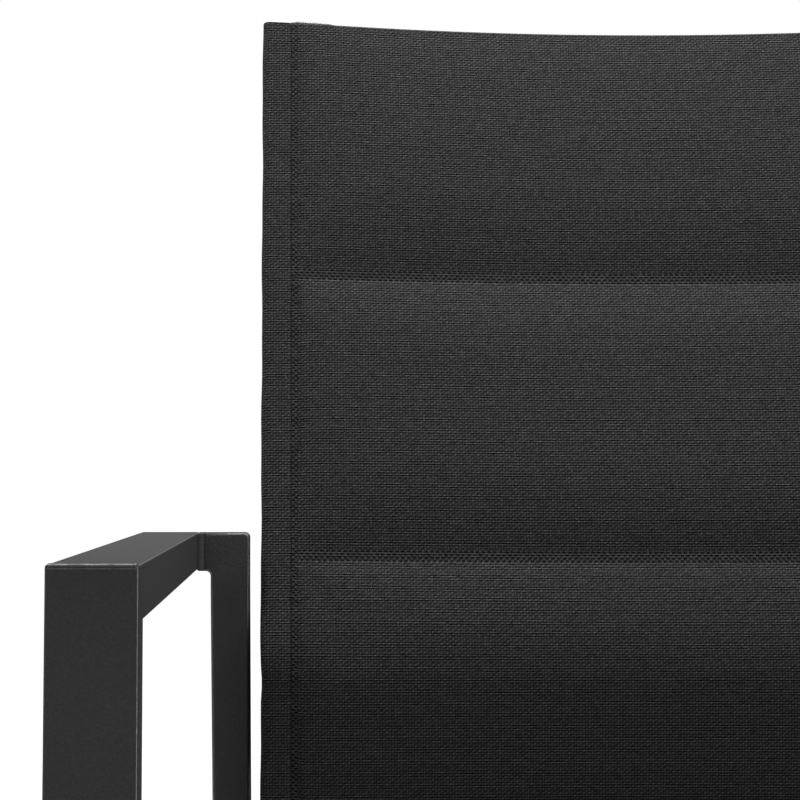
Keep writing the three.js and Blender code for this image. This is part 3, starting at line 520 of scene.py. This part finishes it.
def add_piece(name, points, faces, material, spots=None, smooth_angle=None):
    """A smooth mesh. The spots are its points' places on the cloth, for the cloth map."""
    mesh = bpy.data.meshes.new(name)
    mesh.from_pydata([tuple(p) for p in points], [], faces)
    if spots is not None:
        layer = mesh.uv_layers.new(name="cloth_map")
        corner = np.zeros(len(mesh.loops), int)
        mesh.loops.foreach_get("vertex_index", corner)
        layer.data.foreach_set("uv", np.asarray(spots, np.float32)[corner].ravel())
    mesh.polygons.foreach_set("use_smooth", [True] * len(mesh.polygons))
    if smooth_angle is not None:
        mesh.set_sharp_from_angle(angle=math.radians(smooth_angle))
    obj = bpy.data.objects.new(name, mesh)
    obj.data.materials.append(material)
    bpy.context.scene.collection.objects.link(obj)
    return obj


def enclosed_volume(points, faces):
    total = 0.0
    for face in faces:
        a = points[face[0]]
        for i in range(1, len(face) - 1):
            total += float(np.dot(a, np.cross(points[face[i]], points[face[i + 1]])))
    return total / 6


def ring_faces(rows, columns, looped):
    """Faces of a skin through closed rings, which loops or is closed at its first and last."""
    faces = []
    for i in range(rows if looped else rows - 1):
        a, b = i * columns, ((i + 1) % rows) * columns
        for j in range(columns):
            k = (j + 1) % columns
            faces.append((a + j, a + k, b + k, b + j))
    if not looped:
        last = (rows - 1) * columns
        for j in range(columns // 2 - 1):
            opposite = columns - 1 - j
            faces.append((j + 1, j, opposite, opposite - 1))
            faces.append((last + j, last + j + 1, last + opposite - 1, last + opposite))
    return faces


def add_skin(name, rings, material, spots=None, smooth_angle=None, looped=False):
    """A closed mesh through rings, with its faces turned outwards."""
    rows, columns = rings.shape[:2]
    points = rings.reshape(-1, 3)
    faces = ring_faces(rows, columns, looped)
    if enclosed_volume(points, faces) < 0:
        faces = [tuple(reversed(f)) for f in faces]
    flat = None if spots is None else spots.reshape(-1, 2)
    return add_piece(name, points, faces, material, flat, smooth_angle)


# The padded panel


def channel_rows():
    """Places of the panel's rows along the line, close together at the welds."""
    t = 0.5 - 0.5 * np.cos(np.pi * np.arange(CHANNEL_STEPS + 1) / CHANNEL_STEPS)
    rows = [WELDS[0], WELDS[0] + WELD_HALF / 2]
    for start, end in zip(WELDS[:-1], WELDS[1:]):
        first, last = start + WELD_HALF, end - WELD_HALF
        rows.extend(first + (last - first) * t)
        if end < SLING_END:
            rows.extend([end - WELD_HALF / 2, end, end + WELD_HALF / 2])
    return np.array(rows + [SLING_END - WELD_HALF / 2, SLING_END])


def panel_columns():
    """Places of the panel's columns across the chair, close together at its sides."""
    inner = PAD_EDGE * np.sin(np.pi / 2 * np.arange(-SIDE_STEPS, SIDE_STEPS + 1) / SIDE_STEPS)
    edge = PAD_EDGE + np.array(EDGE_COLUMNS)
    return np.concatenate([-edge[::-1], inner, edge])


def channel_share(s):
    """0 in the welds, and from 0 to 1 across each channel and back."""
    share = np.zeros_like(s)
    for start, end in zip(WELDS[:-1], WELDS[1:]):
        first, last = start + (WELD_HALF if start else 0), end - WELD_HALF
        t = (s - first) / (last - first)
        inside = (t > 0 if start else t >= 0) & (t < 1)
        power = np.where(t < 0.5, UPPER_POWER, LOWER_POWER)
        rise = 1 - np.abs(2 * t - 1) ** power
        if start == 0:
            top_rise = TOP_SHARE + (1 - TOP_SHARE) * (1 - (2 * t - 1) ** 2)
            rise = np.where(t < 0.5, top_rise, rise)
        share = np.where(inside, rise, share)
    return share


def inflate(piece, pinned):
    """Swells a piece by the pressure of its wadding, and keeps its welds and rims in place."""
    mesh, scene = piece.data, bpy.context.scene
    start = np.zeros(len(mesh.vertices) * 3)
    mesh.vertices.foreach_get("co", start)
    group = piece.vertex_groups.new(name="pinned")
    group.add([int(i) for i in np.flatnonzero(pinned)], 1.0, "REPLACE")
    cloth = piece.modifiers.new("cloth", "CLOTH")
    settings = cloth.settings
    settings.quality, settings.mass = CLOTH_QUALITY, CLOTH_MASS
    settings.tension_stiffness = settings.compression_stiffness = CLOTH_STRETCH
    settings.shear_stiffness, settings.bending_stiffness = CLOTH_SHEAR, CLOTH_BEND
    settings.use_pressure, settings.uniform_pressure_force = True, CLOTH_PRESSURE
    settings.effector_weights.gravity = 0
    settings.vertex_group_mass = group.name
    cloth.collision_settings.use_collision = False
    cloth.point_cache.frame_start, cloth.point_cache.frame_end = 1, LAST_FRAME
    for number in range(1, LAST_FRAME + 1):
        scene.frame_set(number)
    result = piece.evaluated_get(bpy.context.evaluated_depsgraph_get()).to_mesh()
    end = np.zeros_like(start)
    result.vertices.foreach_get("co", end)
    # Two concave folds would turn over, so no point moves further than the cap
    move = (end - start).reshape(-1, 3)
    length = np.linalg.norm(move, axis=1)
    share = SWELL_CAP * np.tanh(length / SWELL_CAP) / np.maximum(length, TINY)
    piece.modifiers.remove(cloth)
    piece.vertex_groups.remove(group)
    mesh.vertices.foreach_set("co", start + (move * share[:, None]).ravel())
    mesh.update()
    scene.frame_set(1)


def there_and_back(front, back):
    """Values for rings that run over the front layer and return over the back layer."""
    return np.concatenate([front, back[:, ::-1]], axis=1)


def build_panel():
    s, x = np.meshgrid(channel_rows(), panel_columns(), indexing="ij")
    off_middle = np.abs(x)
    crown = channel_share(s) * np.sqrt(1 - np.clip(off_middle / PAD_EDGE, 0, 1) ** END_POWER)
    pressed = WELD_PRESS * (1 - np.minimum(1, crown * PRESS_FADE))
    swell = START_SHARE * crown
    front = sling_point(x, s, FRONT_CROWN * swell - pressed)
    past_pad = np.maximum(0, off_middle - PAD_EDGE) / (WELD_OUTER - PAD_EDGE)
    back_x = np.clip(x, -PAD_EDGE, PAD_EDGE) + np.sign(x) * past_pad * (BACK_EDGE - PAD_EDGE)
    back = sling_point(back_x, s, BACK_FACE - BACK_CROWN * swell + pressed)
    spots = np.stack([there_and_back(x, back_x), there_and_back(s, s)], -1)
    cloth = MATERIALS["sling_cloth"]
    panel = add_skin("sling_panel", there_and_back(front, back), cloth, spots)
    free = (channel_share(s) > 0) & (s > WELD_HALF) & (off_middle < PAD_EDGE)
    inflate(panel, ~there_and_back(free, free).ravel())
    subdivide = panel.modifiers.new("subdivide", "SUBSURF")
    subdivide.levels = subdivide.render_levels = 1
    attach(panel, "root")
    pads = [f"channel_pad_{i}" for i in range(1, len(WELDS))]
    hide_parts("sling_front_layer", "sling_back_layer", *pads)


def build_top_wadding(side, word):
    """Wadding that shows between the two layers at a corner of the top edge."""
    along = np.linspace(0, 1, WADDING_RINGS)[:, None]
    turn = np.arange(WADDING_CORNERS) * (2 * math.pi / WADDING_CORNERS)
    x = side * (WADDING_SPAN[0] + (WADDING_SPAN[1] - WADDING_SPAN[0]) * along)
    taper = np.sqrt(np.clip(1 - (2 * along - 1) ** TAPER_POWER, TAPER_END, 1))
    fluff = taper * (1 + sum(size * np.sin(x * waves + shift) for size, waves, shift in TUFTS))
    s = -TOP_HEM - WADDING_RADIUS * fluff * np.cos(turn)
    height = BACK_FACE / 2 + WADDING_RADIUS * WADDING_DEPTH * taper * np.sin(turn)
    rings = sling_point(np.broadcast_to(x, s.shape), s, height)
    tuft = add_skin(f"{word}_top_wadding", rings, MATERIALS["padding"])
    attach(tuft, "root")


# The sleeves


def sleeve_path(inset):
    """The sleeve's section from the weld round the rail to the flange, across and in front."""
    radius = SLEEVE_RADIUS - inset
    flat = SLEEVE_HALF - SLEEVE_RADIUS
    straight = SLEEVE_DEPTH / 2 - SLEEVE_RADIUS
    top = SLEEVE_DEPTH / 2 - inset
    points = [(WELD_OUTER - RAIL_X + past, top - below) for past, below in SLEEVE_SEAM]
    for sx, sy, quarter in ((1, 1, 1), (1, -1, 0), (-1, -1, -1)):
        for i in range(CORNER_STEPS + 1):
            angle = (quarter - i / CORNER_STEPS) * math.pi / 2
            u, v = sx * flat + radius * math.cos(angle), sy * straight + radius * math.sin(angle)
            points.append((u, v))
    flange = SLEEVE_DEPTH / 2 - FLANGE_STEP - (CLOTH - inset)
    return np.array(points + [(inset - SLEEVE_HALF, flange), (WELD_INNER - RAIL_X, flange)])


def build_sleeve(side, word):
    outer, inner = sleeve_path(0), sleeve_path(CLOTH)
    rows = np.concatenate([np.linspace(*stretch) for stretch in SLEEVE_ROWS])
    wander = sum(size * np.sin(rows * waves + shift * side) for size, waves, shift in WANDERS)
    pucker = PUCKER * np.exp(-(((rows - PUCKER_PLACE) / PUCKER_HALF) ** 2))
    loop = np.concatenate([outer, inner[::-1]])
    s, u = np.meshgrid(rows, loop[:, 0], indexing="ij")
    outward = np.clip((u - OUTER_FROM) / OUTER_SPAN, 0, 1)
    x = RAIL_X + u + outward * (wander - pucker)[:, None]
    towards_panel = np.clip(0.5 - u / (2 * SLEEVE_HALF), 0, 1)
    drop = SLEEVE_DROP * towards_panel * np.exp(-s / DROP_FADE)
    rings = place(side * x, s + drop, RAIL_MIDDLE + loop[:, 1])
    run = np.concatenate([[0], np.cumsum(np.hypot(*np.diff(outer, axis=0).T))])
    spot = side * (WELD_OUTER + np.concatenate([run, run[::-1]]))
    spots = np.stack([np.broadcast_to(spot, s.shape), s], -1)
    cloth = MATERIALS["sling_cloth"]
    name = f"{word}_sleeve_cloth"
    sleeve = add_skin(name, rings, cloth, spots, smooth_angle=SLEEVE_SHARP)
    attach(sleeve, "root")
    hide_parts(f"{word}_rail_sleeve")


# Weld beads


def hull(points):
    """Corners of the convex outline round points on a plane, in order."""
    order = sorted(range(len(points)), key=lambda i: tuple(points[i]))

    def chain(indices):
        out = []
        for i in indices:
            while len(out) > 1:
                a, b = points[out[-1]] - points[out[-2]], points[i] - points[out[-2]]
                if a[0] * b[1] - a[1] * b[0] > TINY:
                    break
                out.pop()
            out.append(i)
        return out[:-1]

    return chain(order) + chain(order[::-1])


def end_outline(node, axis, sign, depth):
    """The outline of a tube's end, which lies within depth of its furthest point on an axis."""
    obj = frame["nodes"][node]
    points = np.array([obj.matrix_world @ v.co for v in obj.data.vertices])
    furthest = (points[:, axis] * sign).max()
    end = points[points[:, axis] * sign > furthest - depth]
    return end[hull(np.delete(end, axis, axis=1))]


def add_bead(name, corners, radius, closed=True, ripple=1.0, coat=WELD_COAT):
    """A rippled weld bead along a line of corners."""
    corners = np.asarray(corners, float)
    if closed:
        corners = np.concatenate([corners, corners[:1]])
    run = np.concatenate([[0], np.cumsum(np.linalg.norm(np.diff(corners, axis=0), axis=1))])
    at = np.linspace(0, run[-1], int(run[-1] / BEAD_STEP), endpoint=not closed)
    path = np.stack([np.interp(at, run, corners[:, k]) for k in range(3)], -1)
    ahead, behind = np.roll(path, -1, 0), np.roll(path, 1, 0)
    if not closed:
        ahead[-1], behind[0] = path[-1], path[0]
    tangent = ahead - behind
    tangent /= np.linalg.norm(tangent, axis=1)[:, None]
    # On a straight line the way to its middle lies along it, so a nudge gives a way across
    across = np.cross(tangent, path.mean(0) - path + NUDGE)
    across /= np.linalg.norm(across, axis=1)[:, None]
    up = np.cross(tangent, across)
    wave = sum(share * np.sin(at * waves) for share, waves in BEAD_WAVES)
    size = radius * (1 + ripple * wave)[:, None, None]
    turn = (np.arange(BEAD_CORNERS) * (2 * math.pi / BEAD_CORNERS))[None, :, None]
    rings = path[:, None] + size * (np.cos(turn) * across[:, None] + np.sin(turn) * up[:, None])
    bead = add_skin(name, rings, coat, looped=closed)
    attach(bead, "root")


def add_beads(side, word):
    """The weld beads of one side of the chair."""
    inner, outer = side * ARM_INNER, side * ARM_OUTER
    for spot, y, radius in HEAD_BEADS:
        line = [(inner, y, HEAD_LOW), (inner, y, HEAD_HIGH)]
        name = f"{word}_head_{spot}_weld"
        add_bead(name, line, radius, closed=False, ripple=HEAD_RIPPLE, coat=HEAD_WELD_COAT)
    line = [(inner, HEAD_FRONT, HEAD_LOW), (inner, HEAD_REAR, HEAD_LOW)]
    add_bead(f"{word}_head_lower_weld", line, HEAD_LOWER_RADIUS, closed=False)
    for spot, (y, z), radius in MITRE_BEADS:
        line = [(inner + side * MITRE_INSET, y, z), (outer - side * MITRE_INSET, y, z)]
        name = f"{word}_mitre_{spot}_weld"
        add_bead(name, line, radius, closed=False, ripple=MITRE_RIPPLE)
    for end, sign in (("front", -1), ("rear", 1)):
        outline = end_outline(f"{word}_seat_side_tube", 1, sign, SIDE_TUBE_END)
        add_bead(f"{word}_side_tube_{end}_weld", outline, JOINT_RADIUS)
        outline = end_outline(f"{end}_crossbar", 0, side, CROSSBAR_END)
        add_bead(f"{word}_{end}_crossbar_weld", outline, JOINT_RADIUS)


# Studio: pale floor, soft lamps, white surroundings


def directly_seen(g):
    """1 for rays that come from the camera, a reflection or a see-through surface."""
    path = g.node("ShaderNodeLightPath").outputs
    seen = g.math("MAXIMUM", path["Is Camera Ray"], path["Is Glossy Ray"])
    return g.math("MAXIMUM", seen, path["Is Transmission Ray"])


def make_floor():
    g = new_material("studio_floor")
    length = g.node("ShaderNodeVectorMath", {0: g.object_place()}, operation="LENGTH")
    strength = g.ramp(length.outputs["Value"], *GLOW_REACH, *GLOW_STRENGTH)
    glow = g.node("ShaderNodeEmission", {"Color": WHITE, "Strength": strength}).outputs[0]
    pale = g.node("ShaderNodeBsdfDiffuse", {"Color": FLOOR_COLOUR}).outputs[0]
    dark = g.node("ShaderNodeBsdfDiffuse", {"Color": FLOOR_SHADE}).outputs[0]
    bright = g.node("ShaderNodeAddShader", {0: pale, 1: glow}).outputs[0]
    mix = g.node("ShaderNodeMixShader", {0: directly_seen(g), 1: dark, 2: bright})
    mesh = bpy.data.meshes.new("floor")
    corners = [(x * FLOOR_HALF, y * FLOOR_HALF, 0) for x, y in ((-1, -1), (1, -1), (1, 1), (-1, 1))]
    mesh.from_pydata(corners, [], [(0, 1, 2, 3)])
    floor = bpy.data.objects.new("floor", mesh)
    floor.data.materials.append(g.finish(mix.outputs[0]))
    bpy.context.scene.collection.objects.link(floor)


def make_world():
    g = Graph(bpy.data.worlds.new("studio"))
    strength = g.ramp(directly_seen(g), 0.0, 1.0, WORLD_DIM, 1.0)
    background = g.node("ShaderNodeBackground", {"Color": WHITE, "Strength": strength})
    bpy.context.scene.world = g.finish(background.outputs[0], "ShaderNodeOutputWorld")


def add_softbox(name, location, target, width, height, energy):
    data = bpy.data.lights.new(name, "AREA")
    data.shape = "RECTANGLE"
    data.size, data.size_y, data.energy = width, height, energy
    lamp = bpy.data.objects.new(name, data)
    lamp.location = location
    aim = Vector(target) - Vector(location)
    lamp.rotation_euler = aim.to_track_quat("-Z", "Y").to_euler()
    bpy.context.scene.collection.objects.link(lamp)


make_camera()
dress_cad_nodes()
build_panel()
for side_and_word in SIDES:
    build_top_wadding(*side_and_word)
for side_and_word in SIDES:
    build_sleeve(*side_and_word)
for side_and_word in SIDES:
    add_beads(*side_and_word)
make_floor()
make_world()
for lamp_row in LAMPS:
    add_softbox(*lamp_row)

bpy.context.scene.view_settings.view_transform = "Standard"
